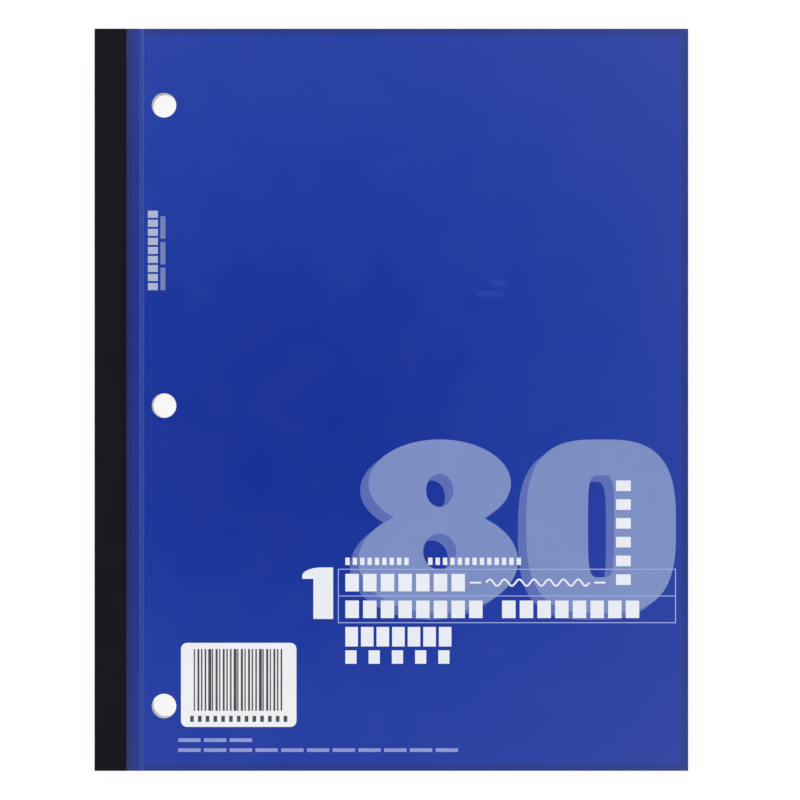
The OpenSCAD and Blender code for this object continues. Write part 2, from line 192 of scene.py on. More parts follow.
class InkSettings(bpy.types.PropertyGroup):
    """The inks on the front cover."""

    figure: colour("Figure ink", "Pale blue of the large figures", (0.190, 0.258, 0.535))
    figure_light: colour("Light figure ink", "Pale blue where the ink lies thinner", (0.205, 0.272, 0.550))
    shade: colour("Shade ink", "Blue of the shade beside the figures", (0.100, 0.146, 0.460))
    shade_light: colour("Light shade ink", "The same where it lies thinner", (0.112, 0.158, 0.480))
    white: colour("White ink", "Blocks, numeral and title rows", (0.80, 0.82, 0.89))
    white_light: colour("Light white ink", "The same where it lies thicker", (0.84, 0.86, 0.92))
    rule: colour("Rule ink", "Fine rules of the title frame", (0.37, 0.44, 0.80))
    small: colour("Small ink", "Small print near the tail", (0.255, 0.295, 0.650))
    small_light: colour("Light small ink", "The same where it lies thicker", (0.285, 0.325, 0.680))
    side: colour("Side ink", "Heavy line beside the score", (0.39, 0.45, 0.64))
    side_faint: colour("Faint side ink", "Light line beside the score", (0.170, 0.215, 0.470))
    panel: colour("Panel ink", "White panel", (0.83, 0.84, 0.87))
    panel_light: colour("Light panel ink", "The same where it lies thicker", (0.87, 0.88, 0.90))
    stripe: colour("Stripe ink", "Grey of the stripes and marks", (0.055, 0.058, 0.066))
    stripe_light: colour("Light stripe ink", "The same where it lies thinner", (0.080, 0.084, 0.094))
    frame_foot: length("Frame foot", "From the tail to the title frame", 53.1)
    frame_width: length("Frame width", "Width of the title frame", 121.5)
    row_pitch: length("Row pitch", "Distance between the frame's rules", 9.6)
    rule_width: length("Rule width", "Width of the frame's rules", 0.3)
    side_reach: length("Side line reach", "From the score to the far side of the heavy side line", 5.8)


class StageSettings(bpy.types.PropertyGroup):
    """The floor, the light and the camera."""

    camera_rise: length("Camera height", "From the front cover up to the camera", 1100)
    view_width: length("View width", "What the camera sees across, at the front cover", 287.48)
    view_x: number("View X", "Middle of the view", 3.114 * MM)
    view_y: number("View Y", "Middle of the view", -0.081 * MM)
    floor_size: length("Floor size", "Length of each side of the floor", 8000)
    floor_drop: length("Floor drop", "Room under the block for the back leaf, turned right round", 0.55)
    floor_colour: colour("Floor", "Colour of the floor", (0.80, 0.80, 0.80))
    floor_glow: share("Floor glow", "Light of its own that the floor shows where it has to look white", 0.82)
    floor_faint: share("Floor shadow", "How much of a shadow the floor shows there", 0.2)
    tent_top: number("Light overhead", "Level of the tent overhead", 1.05)
    tent_side: share("Light at the side", "Level of the tent at the horizon", 0.2)
    tent_rise: share("Tent rise", "Height in the sky at which the tent has its full level", 0.75)
    opening_lean: number("Lean of the opening", "How far the opening leans along X", -0.03)
    opening_rim: number(
        "Rim of the opening", "From its middle to where the tent is whole", math.radians(10), subtype="ANGLE"
    )
    opening_core: number(
        "Core of the opening", "From its middle to where it begins to fade", math.radians(6), subtype="ANGLE"
    )
    lamp_place: bpy.props.FloatVectorProperty(
        name="Lamp place", description="Where the soft lamp hangs", default=(-0.85, 0.75, 1.15), subtype="XYZ"
    )
    lamp_size: length("Lamp size", "Length of each side of the soft lamp", 900)
    lamp_power: number("Lamp", "Power of the soft lamp in watts", 6)


def deselect():
    """Deselects everything."""
    bpy.ops.object.select_all(action="DESELECT")


def only(piece):
    """Selects one object and makes it the active one."""
    deselect()
    piece.select_set(True)
    bpy.context.view_layer.objects.active = piece


def edit(piece):
    """Opens a piece in edit mode, with its points to be picked."""
    only(piece)
    bpy.ops.object.mode_set(mode="EDIT")
    bpy.ops.mesh.select_mode(type="VERT")


def leave_edit():
    """Goes back to object mode."""
    bpy.ops.object.mode_set(mode="OBJECT")


def pick_points(piece, test):
    """Selects the points, and with them the edges and faces between them, that pass a test."""
    bpy.ops.mesh.select_all(action="DESELECT")
    shape = bmesh.from_edit_mesh(piece.data)
    for point in shape.verts:
        point.select = test(point.co)
    shape.select_flush_mode()
    bmesh.update_edit_mesh(piece.data)


def pick_edges(piece, test):
    """Selects the edges that pass a test."""
    bpy.ops.mesh.select_all(action="DESELECT")
    bpy.ops.mesh.select_mode(type="EDGE")
    shape = bmesh.from_edit_mesh(piece.data)
    for edge in shape.edges:
        edge.select = test(edge)
    shape.select_flush_mode()
    bmesh.update_edit_mesh(piece.data)


def add_block(name, low, high):
    """Adds a cube primitive that fills the box between two corners."""
    deselect()
    bpy.ops.mesh.primitive_cube_add(size=1, location=(low + high) / 2, scale=high - low)
    block = bpy.context.object
    block.name = name
    block.data.name = name
    bpy.ops.object.transform_apply()
    return block


def cut_across(piece, places):
    """Cuts a piece along a plane across X at each place."""
    edit(piece)
    for x in places:
        bpy.ops.mesh.select_all(action="SELECT")
        bpy.ops.mesh.bisect(plane_co=(x, 0, 0), plane_no=(1, 0, 0), threshold=TINY)
    leave_edit()


def apply_modifier(piece, kind, **settings):
    """Adds a modifier, sets it and applies it."""
    only(piece)
    modifier = piece.modifiers.new(kind.title(), kind)
    for name, value in settings.items():
        setattr(modifier, name, value)
    bpy.ops.object.modifier_apply(modifier=modifier.name)


def add_hole_cutter():
    """Adds the three cylinders that punch the ring holes, as one object."""
    rods = []
    for hole in RING_HOLES:
        deselect()
        bpy.ops.mesh.primitive_cylinder_add(
            vertices=HOLE_SIDES,
            radius=hole["dims"]["r_mm"] * MM,
            depth=2 * hole["dims"]["length_mm"] * MM,
            location=hole["pos_m"],
        )
        rods.append(bpy.context.object)
    deselect()
    for rod in rods:
        rod.select_set(True)
    bpy.ops.object.join()
    bpy.ops.object.transform_apply()
    return bpy.context.object


def add_staple_cutter(play):
    """Adds a copy of the staples, welded and grown by a little play."""
    cutter = NODES["staples"].copy()
    cutter.data = cutter.data.copy()
    cutter.parent = None
    bpy.context.scene.collection.objects.link(cutter)
    edit(cutter)
    bpy.ops.mesh.select_all(action="SELECT")
    bpy.ops.mesh.remove_doubles(threshold=TINY)
    bpy.ops.transform.shrink_fatten(value=play)
    leave_edit()
    return cutter


def cut_with(piece, cutter):
    """Takes a cutter's form out of a piece, and removes the cutter."""
    apply_modifier(piece, "BOOLEAN", operation="DIFFERENCE", solver="EXACT", object=cutter)
    bpy.data.objects.remove(cutter)


def soften_edges(piece, width, skip=None):
    """Bevels the sharp edges of a piece, other than those that the skip test names."""
    edit(piece)
    sharp = math.radians(60)
    pick_edges(
        piece,
        lambda e: len(e.link_faces) == 2 and e.calc_face_angle() > sharp and not (skip and skip(e)),
    )
    bpy.ops.mesh.bevel(offset=width, segments=2, clamp_overlap=True)
    leave_edit()


def smooth_rounds(piece):
    """Smooths the rounds and leaves the flats flat."""
    only(piece)
    largest_step = math.radians(20)
    bpy.ops.object.shade_smooth_by_angle(angle=largest_step)


def lift(piece, rise):
    """Moves the whole of a piece up."""
    edit(piece)
    bpy.ops.mesh.select_all(action="SELECT")
    bpy.ops.transform.translate(value=(0, 0, rise))
    leave_edit()


def keep_rest_place(piece):
    """Stores each point's place at rest, which a bending piece's materials read."""
    mesh = piece.data
    stored = mesh.attributes.new(REST_PLACE, "FLOAT_VECTOR", "POINT")
    for entry, point in zip(stored.data, mesh.vertices):
        entry.vector = point.co


def give_materials(piece, materials, choose=None):
    """Gives a new piece its materials, and each face the one that the choice names."""
    piece.data.materials.clear()
    for material in materials:
        piece.data.materials.append(material)
    if choose:
        for face in piece.data.polygons:
            face.material_index = choose(face)


def dress_node(name, material):
    """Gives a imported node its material."""
    for entry in NODES[name].material_slots:
        entry.material = material


def feed(tree, socket, value):
    """Links an output to a socket, or sets the socket to a plain value."""
    if isinstance(value, bpy.types.NodeSocket):
        tree.links.new(value, socket)
    else:
        socket.default_value = value


def add_node(tree, kind, inputs=None, **settings):
    """Adds a node, sets its options and feeds its inputs."""
    made = tree.nodes.new(kind)
    for name, value in settings.items():
        setattr(made, name, value)
    for key, value in (inputs or {}).items():
        feed(tree, made.inputs[key], value)
    return made


def maths(tree, operation, *numbers):
    """One sum, each number an output or a plain value."""
    return add_node(tree, "ShaderNodeMath", dict(enumerate(numbers)), operation=operation).outputs[0]


def vector_maths(tree, operation, a, b):
    """One sum of two vectors."""
    return add_node(tree, "ShaderNodeVectorMath", {0: a, 1: b}, operation=operation).outputs[0]


def ramp(tree, value, start, end):
    """A smooth step from nought at the start to one at the end."""
    made = add_node(
        tree,
        "ShaderNodeMapRange",
        {"Value": value, "From Min": start, "From Max": end},
        interpolation_type="SMOOTHSTEP",
    )
    return made.outputs["Result"]


def parts_of(tree, vector):
    """The three numbers of a vector."""
    return add_node(tree, "ShaderNodeSeparateXYZ", {"Vector": vector}).outputs


def mix_colours(tree, amount, a, b):
    """Mixes two colours, each an output or three numbers."""
    made = add_node(tree, "ShaderNodeMix", data_type="RGBA")
    feed(tree, made.inputs[0], amount)
    for socket, value in ((made.inputs[6], a), (made.inputs[7], b)):
        feed(tree, socket, value if isinstance(value, bpy.types.NodeSocket) else (*value, 1))
    return made.outputs[2]


def noise(tree, vector, size, detail, roughness=0.55):
    """Noise whose features are about as large as the size, in metres."""
    made = add_node(
        tree,
        "ShaderNodeTexNoise",
        {"Vector": vector, "Scale": 1 / size, "Detail": detail, "Roughness": roughness},
    )
    return made.outputs["Fac"]


def stretched_noise(tree, vector, scale, detail):
    """Noise whose features are drawn out along the way of the smallest scale."""
    drawn = add_node(tree, "ShaderNodeMapping", {"Vector": vector, "Scale": scale}, vector_type="POINT")
    inputs = {"Vector": drawn.outputs[0], "Scale": 1, "Detail": detail}
    return add_node(tree, "ShaderNodeTexNoise", inputs).outputs["Fac"]


def new_group(name, takes, gives):
    """Starts a node group with named inputs and outputs."""
    group = bpy.data.node_groups.new(name, "ShaderNodeTree")
    for label, kind, default in takes:
        socket = group.interface.new_socket(label, in_out="INPUT", socket_type=kind)
        socket.default_value = default
    for label, kind in gives:
        group.interface.new_socket(label, in_out="OUTPUT", socket_type=kind)
    inputs = group.nodes.new("NodeGroupInput").outputs
    outputs = group.nodes.new("NodeGroupOutput").inputs
    return group, inputs, outputs


def use_group(tree, build, **inputs):
    """Places a node group, which is built the first time, and gives its outputs."""
    group = bpy.data.node_groups.get(build.__name__) or build()
    made = add_node(tree, "ShaderNodeGroup", node_tree=group)
    for name, value in inputs.items():
        feed(tree, made.inputs[name.replace("_", " ").capitalize()], value)
    return made.outputs


def fine_grain():
    """Fibres in paper and card, and the slow change of tone across them."""
    group, takes, gives = new_group(
        "fine_grain",
        [("Place", "NodeSocketVector", (0, 0, 0)), ("Size", "NodeSocketFloat", 0.4 * MM)],
        [("Height", "NodeSocketFloat"), ("Tone", "NodeSocketFloat"), ("Swell", "NodeSocketFloat")],
    )
    scale = maths(group, "DIVIDE", 1, takes["Size"])
    for label, share_of_scale, detail in (("Height", 1, 4), ("Tone", 0.03, 5), ("Swell", 0.012, 1)):
        made = add_node(
            group,
            "ShaderNodeTexNoise",
            {"Vector": takes["Place"], "Scale": maths(group, "MULTIPLY", scale, share_of_scale)},
        )
        made.inputs["Detail"].default_value = detail
        feed(group, gives[label], made.outputs["Fac"])
    return group


def band():
    """One inside a band round a middle value, falling smoothly to nought beyond its edge."""
    group, takes, gives = new_group(
        "band",
        [
            ("Value", "NodeSocketFloat", 0),
            ("Middle", "NodeSocketFloat", 0),
            ("Reach", "NodeSocketFloat", 1),
            ("Edge", "NodeSocketFloat", 1),
        ],
        [("Mask", "NodeSocketFloat")],
    )
    away = maths(group, "ABSOLUTE", maths(group, "SUBTRACT", takes["Value"], takes["Middle"]))
    beyond = maths(group, "ADD", takes["Reach"], takes["Edge"])
    feed(group, gives["Mask"], ramp(group, away, beyond, takes["Reach"]))
    return group


def band_at(tree, value, middle, reach, edge):
    """The mask of one band."""
    return use_group(tree, band, value=value, middle=middle, reach=reach, edge=edge)["Mask"]


def line_set():
    """Lines at an even pitch, the first of them at the start."""
    group, takes, gives = new_group(
        "line_set",
        [
            ("Value", "NodeSocketFloat", 0),
            ("Start", "NodeSocketFloat", 0),
            ("Pitch", "NodeSocketFloat", 1),
            ("Width", "NodeSocketFloat", 0.1),
        ],
        [("Mask", "NodeSocketFloat")],
    )
    along = maths(group, "DIVIDE", maths(group, "SUBTRACT", takes["Value"], takes["Start"]), takes["Pitch"])
    away = maths(group, "MULTIPLY", maths(group, "PINGPONG", along, 0.5), takes["Pitch"])
    half = maths(group, "MULTIPLY", takes["Width"], 0.5)
    faded = maths(group, "MULTIPLY", half, 1.3)
    feed(group, gives["Mask"], ramp(group, away, faded, half))
    return group


def rubbed_edge():
    """A ragged mask along the outline of a flat piece, where hands and shelves rub it."""
    group, takes, gives = new_group(
        "rubbed_edge",
        [
            ("Place", "NodeSocketVector", (0, 0, 0)),
            ("Low", "NodeSocketVector", (0, 0, 0)),
            ("High", "NodeSocketVector", (1, 1, 1)),
            ("Reach", "NodeSocketFloat", 1 * MM),
        ],
        [("Mask", "NodeSocketFloat")],
    )
    from_low = vector_maths(group, "SUBTRACT", takes["Place"], takes["Low"])
    from_high = vector_maths(group, "SUBTRACT", takes["High"], takes["Place"])
    sides = parts_of(group, vector_maths(group, "MINIMUM", from_low, from_high))
    inside = maths(group, "MINIMUM", sides["X"], sides["Y"])
    rough = noise(group, takes["Place"], size=1.6 * MM, detail=6, roughness=0.7)
    ragged = maths(group, "MULTIPLY", rough, takes["Reach"])
    bare = maths(group, "MULTIPLY", ragged, 0.3)
    feed(group, gives["Mask"], ramp(group, inside, ragged, bare))
    return group


def plain_weave():
    """Threads that pass over and under each other, from a place across and a place along."""
    group, takes, gives = new_group(
        "plain_weave",
        [
            ("Across", "NodeSocketFloat", 0),
            ("Along", "NodeSocketFloat", 0),
            ("Pitch", "NodeSocketFloat", 0.5 * MM),
        ],
        [("Height", "NodeSocketFloat"), ("Thread", "NodeSocketFloat")],
    )
    turn = maths(group, "DIVIDE", math.pi, takes["Pitch"])
    waves = [maths(group, "SINE", maths(group, "MULTIPLY", takes[way], turn)) for way in ("Across", "Along")]
    crossing = maths(group, "MULTIPLY", *waves)
    rounds = [maths(group, "SQRT", maths(group, "ABSOLUTE", wave)) for wave in waves]
    turnover, sunk, lifted = 0.25, 0.5, 0.7
    over = ramp(group, crossing, -turnover, turnover)
    under = maths(group, "SUBTRACT", 1, over)
    height = maths(
        group,
        "MAXIMUM",
        maths(group, "MULTIPLY", rounds[0], maths(group, "MULTIPLY_ADD", over, lifted, sunk)),
        maths(group, "MULTIPLY", rounds[1], maths(group, "MULTIPLY_ADD", under, lifted, sunk)),
    )
    feed(group, gives["Height"], height)
    feed(group, gives["Thread"], ramp(group, maths(group, "MAXIMUM", *rounds), 0.35, 0.8))
    return group


def new_material(name):
    """Starts a material, and gives its tree and its main shader."""
    material = bpy.data.materials.new(name)
    material.use_nodes = True
    return material, material.node_tree, material.node_tree.nodes["Principled BSDF"]


def object_place(tree):
    """Where a point lies in its own piece."""
    return add_node(tree, "ShaderNodeTexCoord").outputs["Object"]


def rest_place(tree):
    """Where a point of a bending piece lies at rest."""
    return add_node(tree, "ShaderNodeAttribute", attribute_name=REST_PLACE).outputs["Vector"]


def bump(tree, height, distance, strength, onto=None):
    """A bump of a real depth, on top of another one if that is given."""
    made = add_node(tree, "ShaderNodeBump", {"Height": height, "Distance": distance, "Strength": strength})
    if onto:
        feed(tree, made.inputs["Normal"], onto)
    return made.outputs["Normal"]


def coat_finish(tree, shader, grain, base, gloss):
    """Finishes a varnished sheet: its colour, its even gloss, and a skin that is nearly flat."""
    feed(tree, shader.inputs["Base Color"], base)
    spread = 0.08
    roughness = maths(tree, "MULTIPLY_ADD", grain["Tone"], spread, gloss - spread / 2)
    feed(tree, shader.inputs["Roughness"], roughness)
    shader.inputs["IOR"].default_value = 1.5
    swell = bump(tree, grain["Swell"], distance=0.06 * MM, strength=0.5)
    skin = bump(tree, grain["Height"], distance=0.004 * MM, strength=0.4, onto=swell)
    feed(tree, shader.inputs["Normal"], skin)


def coated_blue(look, name, place_of, outward=None, marks=()):
    """Blue coated card of a leaf, or of a bound margin if the way that it faces is given."""
    material, tree, shader = new_material(name)
    place = place_of(tree)
    where = parts_of(tree, place)
    grain = use_group(tree, fine_grain, place=place, size=0.5 * MM)
    base = mix_colours(tree, grain["Tone"], look.coat, look.coat_light)
    # Painted sheen: the coat is painted lighter towards the corners
    base = mix_colours(tree, far_from_middle(tree, where), base, look.coat_far)
    # Painted shade along the head, tail and fore-edge
    base = mix_colours(tree, near_outline(tree, where, look), base, look.coat_rim)
    if outward:
        base = beside_tape(tree, where, look, base)
    else:
        base = worn_leaf(tree, place, look, base, marks)
    # The score is lighter: partly coat worn by pressing, partly a painted highlight along the groove
    score = band_at(tree, where["X"], SCORE_X, look.score_reach, look.score_edge)
    base = mix_colours(tree, score, base, look.pressed)
    if outward:
        facing = add_node(tree, "ShaderNodeTexCoord").outputs["Normal"]
        outside = ramp(tree, maths(tree, "MULTIPLY", parts_of(tree, facing)["Z"], outward), 0.4, 0.6)
        base = mix_colours(tree, outside, look.board, base)
    coat_finish(tree, shader, grain, base, look.gloss)
    return material


def beside_tape(tree, where, look, base):
    """Painted shade: the margin is deeper in tone, and deepest in a painted shadow beside the edge of the tape."""
    tape_shadow_x = TAPE_HIGH.x + look.fringe_in
    # Painted shade over the margin
    deep = band_at(tree, where["X"], tape_shadow_x, look.margin_reach, look.margin_edge)
    base = mix_colours(tree, deep, base, look.shaded)
    # Painted shadow beside the edge of the tape
    fringe = band_at(tree, where["X"], tape_shadow_x, look.fringe_reach, look.fringe_reach)
    return mix_colours(tree, fringe, base, look.fringe)


def worn_leaf(tree, place, look, base, marks):
    """The leaf is rubbed along its outline, and lighter in the faint dashes that it is given."""
    low, high = (-1, TAIL_Y, -1), (LEAF_HIGH.x, HEAD_Y, 1)
    edge = use_group(tree, rubbed_edge, place=place, low=low, high=high, reach=look.rubbed_reach)["Mask"]
    edge_strength = 0.5
    base = mix_colours(tree, maths(tree, "MULTIPLY", edge, edge_strength), base, look.rubbed)
    where = parts_of(tree, place)
    for x, y, reach_x, reach_y in marks:
        across = band_at(tree, where["X"], x * MM, reach_x * MM, DASH_FADE[0] * MM)
        along = band_at(tree, where["Y"], y * MM, reach_y * MM, DASH_FADE[1] * MM)
        mark = maths(tree, "MULTIPLY", across, along)
        base = mix_colours(tree, maths(tree, "MULTIPLY", mark, DASH_STRENGTH), base, look.rubbed)
    return base


def near_outline(tree, where, look):
    """How near a place lies to the head, the tail or the fore-edge, where painted shade deepens the blue."""
    head = ramp(tree, where["Y"], HEAD_Y - look.rim_start, HEAD_Y - look.rim_full)
    tail = ramp(tree, where["Y"], TAIL_Y + look.rim_start, TAIL_Y + look.rim_full)
    fore = ramp(tree, where["X"], LEAF_HIGH.x - look.rim_start, LEAF_HIGH.x - look.rim_full)
    return maths(tree, "MAXIMUM", fore, maths(tree, "MAXIMUM", head, tail))


def far_from_middle(tree, where):
    """How far a place lies from the middle of the painted sheen, where the blue is deepest; this mask paints the
    sheen that lightens the coat towards the corners.
    """
    squares = []
    for way, middle, reach in zip("XY", SHEEN_MIDDLE, SHEEN_REACH):
        away = maths(tree, "DIVIDE", maths(tree, "SUBTRACT", where[way], middle * MM), reach * MM)
        squares.append(maths(tree, "MULTIPLY", away, away))
    near, far = 0.15, 1.1
    return ramp(tree, maths(tree, "SQRT", maths(tree, "ADD", *squares)), near, far)


def bare_board(look, name):
    """The bare side and the cut edges of the card, with fibres and a few specks."""
    material, tree, shader = new_material(name)
    place = rest_place(tree)
    grain = use_group(tree, fine_grain, place=place, size=0.35 * MM)
    dull = tuple(0.95 * part for part in look.board)
    base = mix_colours(tree, grain["Tone"], look.board, dull)
    specks = ramp(tree, noise(tree, place, size=0.8 * MM, detail=2), 0.74, 0.78)
    speck_strength = 0.35
    base = mix_colours(tree, maths(tree, "MULTIPLY", specks, speck_strength), base, look.speck)
    feed(tree, shader.inputs["Base Color"], base)
    shader.inputs["Roughness"].default_value = 0.82
    shader.inputs["Specular IOR Level"].default_value = 0.3
    feed(tree, shader.inputs["Normal"], bump(tree, grain["Height"], distance=0.02 * MM, strength=0.6))
    return material


def sheet_paper(look, name, ruled):
    """Writing paper: ruled on its faces, streaked along the stack on its cut edges."""
    material, tree, shader = new_material(name)
    place = object_place(tree)
    where = parts_of(tree, place)
    grain = use_group(tree, fine_grain, place=place, size=0.25 * MM)
    dull = tuple(0.96 * part for part in look.paper)
    base = mix_colours(tree, grain["Tone"], look.paper, dull)
    if ruled:
        base = ruled_lines(tree, where, look, base)
    else:
        base = edge_streaks(tree, place, look, base)
    feed(tree, shader.inputs["Base Color"], base)
    shader.inputs["Roughness"].default_value = 0.78
    shader.inputs["Specular IOR Level"].default_value = 0.3
    feed(tree, shader.inputs["Normal"], bump(tree, grain["Height"], distance=0.008 * MM, strength=0.5))
    return material


def ruled_lines(tree, where, look, base):
    """Pale blue lines across the page and a red line down its margin."""
    first = HEAD_Y - look.rule_top
    lines = use_group(
        tree, line_set, value=where["Y"], start=first, pitch=look.rule_pitch, width=look.rule_width
    )
    low = TAIL_Y + look.rule_foot
    high = first + look.rule_width
    within = band_at(tree, where["Y"], (low + high) / 2, reach=(high - low) / 2, edge=0.1 * MM)
    base = mix_colours(tree, maths(tree, "MULTIPLY", lines["Mask"], within), base, look.rule)
    margin_x = TAPE_LOW.x + look.margin_in
    margin = band_at(tree, where["X"], margin_x, reach=look.rule_width / 2, edge=0.05 * MM)
    return mix_colours(tree, margin, base, look.margin)


def edge_streaks(tree, place, look, base):
    """Streaks that run with the sheets, and a few that the knife left across them."""
    sheets = stretched_noise(tree, place, scale=(40, 40, 9000), detail=2)
    knife = stretched_noise(tree, place, scale=(900, 900, 30), detail=3)
    base = mix_colours(tree, ramp(tree, sheets, 0.45, 0.75), base, look.edge_dark)
    knife_strength = 0.25
    cuts = maths(tree, "MULTIPLY", ramp(tree, knife, 0.55, 0.8), knife_strength)
    return mix_colours(tree, cuts, base, look.edge_dark)


def black_cloth(look):
    """Black cloth tape with its weave, matt, with threads that are a little paler in patches."""
    material, tree, shader = new_material("black_cloth")
    place = object_place(tree)
    where = parts_of(tree, place)
    wrap = maths(tree, "ADD", where["X"], where["Z"])
    weave = use_group(tree, plain_weave, across=wrap, along=where["Y"], pitch=look.thread_pitch)
    grain = use_group(tree, fine_grain, place=place, size=0.3 * MM)
    paler = tuple(1.5 * part for part in look.cloth)
    threads = mix_colours(tree, grain["Tone"], look.cloth, paler)
    feed(tree, shader.inputs["Base Color"], mix_colours(tree, weave["Thread"], look.gap, threads))
    shader.inputs["Roughness"].default_value = 0.62
    shader.inputs["Specular IOR Level"].default_value = 0.06
    fibres = bump(tree, grain["Height"], distance=0.01 * MM, strength=0.4)
    woven = bump(tree, weave["Height"], distance=0.03 * MM, strength=0.5, onto=fibres)
    feed(tree, shader.inputs["Normal"], woven)
    return material


def zinc_wire():
    """Galvanised flat wire, dull and bright in spots."""
    material, tree, shader = new_material("zinc_wire")
    place = object_place(tree)
    grain = use_group(tree, fine_grain, place=place, size=0.12 * MM)
    dull, bright = (0.42, 0.44, 0.46), (0.60, 0.61, 0.63)
    base = mix_colours(tree, grain["Height"], dull, bright)
    feed(tree, shader.inputs["Base Color"], base)
    shader.inputs["Metallic"].default_value = 1
    spread, smoothest = 0.2, 0.25
    feed(tree, shader.inputs["Roughness"], maths(tree, "MULTIPLY_ADD", grain["Height"], spread, smoothest))
    feed(tree, shader.inputs["Normal"], bump(tree, grain["Height"], distance=0.005 * MM, strength=0.5))
    return material


def ink(name, gloss, plain, light, accent=None):
    """Ink under the varnish, with the slight mottle of print and an optional second colour."""
    material, tree, shader = new_material(name)
    place = object_place(tree)
    grain = use_group(tree, fine_grain, place=place, size=0.5 * MM)
    mottle = maths(tree, "ADD", grain["Tone"], maths(tree, "MULTIPLY", grain["Height"], 0.5))
    base = mix_colours(tree, ramp(tree, mottle, 0.45, 1.05), plain, light)
    if accent:
        base = accent(tree, parts_of(tree, place), base)
    coat_finish(tree, shader, grain, base, gloss)
    return material


def rule_accent(look):
    """The fine rules of the title frame are a dimmer ink than the blocks."""

    def accent(tree, where, base):
        # The masks reach a whole rule's width to each side, so that no edge of a rule is missed
        reach = look.rule_width
        foot = TAIL_Y + look.frame_foot + look.rule_width / 2
        left = TITLE_HIGH.x - look.frame_width
        pitch = look.row_pitch
        rows = use_group(tree, line_set, value=where["Y"], start=foot, pitch=pitch, width=2 * reach)["Mask"]
        tall = band_at(tree, where["Y"], foot + pitch, reach=pitch + reach, edge=TINY)
        outside, fade = 0.5 * MM, 0.1 * MM
        wide = ramp(tree, where["X"], left - outside - fade, left - outside)
        lying = maths(tree, "MULTIPLY", rows, maths(tree, "MULTIPLY", tall, wide))
        ends = [band_at(tree, where["X"], x, reach=reach, edge=TINY) for x in (left, TITLE_HIGH.x)]
        upright = maths(tree, "MULTIPLY", tall, maths(tree, "MAXIMUM", *ends))
        return mix_colours(tree, maths(tree, "MAXIMUM", lying, upright), base, look.rule)

    return accent


def side_accent(look):
    """The heavy line beside the score is a brighter ink, and the light line a fainter one."""

    def accent(tree, where, base):
        far_side, fade = SCORE_X + look.side_reach, 0.1 * MM
        beside = ramp(tree, where["X"], far_side + fade, far_side)
        two_inks = mix_colours(tree, beside, look.side_faint, look.side)
        return mix_colours(tree, ramp(tree, where["Y"], 0, 1 * MM), base, two_inks)

    return accent


def make_cover(card, name, leaf, strip, outward):
    """Models a cover's leaf, from the end of its bound margin to the fore-edge, with a pressed groove at the
    score.
    """
    low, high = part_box(leaf)
    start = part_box(strip)[1].x
    low.x = start
    cover = add_block(name, low, high)
    outer = high.z if outward > 0 else low.z

    steps = round((card.groove_reach - card.groove_flat) / card.bend_step)
    rise = [SCORE_X + card.groove_flat + card.bend_step * i for i in range(steps + 1)]
    flat = [start + card.bend_step * i for i in range(1, round((rise[0] - start) / card.bend_step))]
    # The last cut lies past the bend, so that the large flats keep their own shading
    cut_across(cover, flat + rise + [rise[-1] + card.bend_step])

    edit(cover)
    for x in [start, *flat, *rise]:
        along = min(1, max(0, (x - rise[0]) / (rise[-1] - rise[0])))
        depth = card.groove_depth * (1 - along * along * (3 - 2 * along))
        if depth > TINY:
            pick_points(cover, lambda co: abs(co.x - x) < TINY and abs(co.z - outer) < TINY)
            bpy.ops.transform.translate(value=(0, 0, -outward * depth))
    leave_edit()

    cut_with(cover, add_hole_cutter())
    soften_edges(cover, card.rim, lambda e: all(v.co.x < start + TINY for v in e.verts))
    smooth_rounds(cover)
    keep_rest_place(cover)

    skin = outer - outward * (card.groove_depth + TINY)
    blue = coated_blue(card, name + "_coat", rest_place, marks=FAINT_DASHES if outward > 0 else ())
    board = bare_board(card, name + "_board")
    give_materials(
        cover,
        [blue, board],
        lambda f: 0 if f.normal.z * outward > 0.5 and f.center.z * outward >= skin * outward else 1,
    )
    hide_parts(leaf)
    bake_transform(cover)


def has_to_look_white(tree):
    """One for what the camera sees straight on, in gloss or through glass, and else nought."""
    light = add_node(tree, "ShaderNodeLightPath").outputs
    seen = maths(tree, "MAXIMUM", light["Is Camera Ray"], light["Is Glossy Ray"])
    return maths(tree, "MAXIMUM", seen, light["Is Transmission Ray"])


class NOTEBOOK_OT_covers(bpy.types.Operator):
    """Models the front and back covers, each scored and punched"""

    bl_idname = "notebook.covers"
    bl_label = "Covers"
    bl_options = {"REGISTER", "UNDO"}

    def execute(self, context):
        card = context.scene.notebook_card
        make_cover(card, "front_card", "front_cover", "front_cover_strip", 1)
        make_cover(card, "back_card", "back_cover", "back_cover_strip", -1)
        return {"FINISHED"}


class NOTEBOOK_OT_margins(bpy.types.Operator):
    """Finishes the bound margins of both covers, beside and under the tape"""

    bl_idname = "notebook.margins"
    bl_label = "Bound margins"
    bl_options = {"REGISTER", "UNDO"}

    def execute(self, context):
        card = context.scene.notebook_card
        dress_node("front_cover_strip", coated_blue(card, "front_margin", object_place, outward=1))
        dress_node("back_cover_strip", coated_blue(card, "back_margin", object_place, outward=-1))
        return {"FINISHED"}


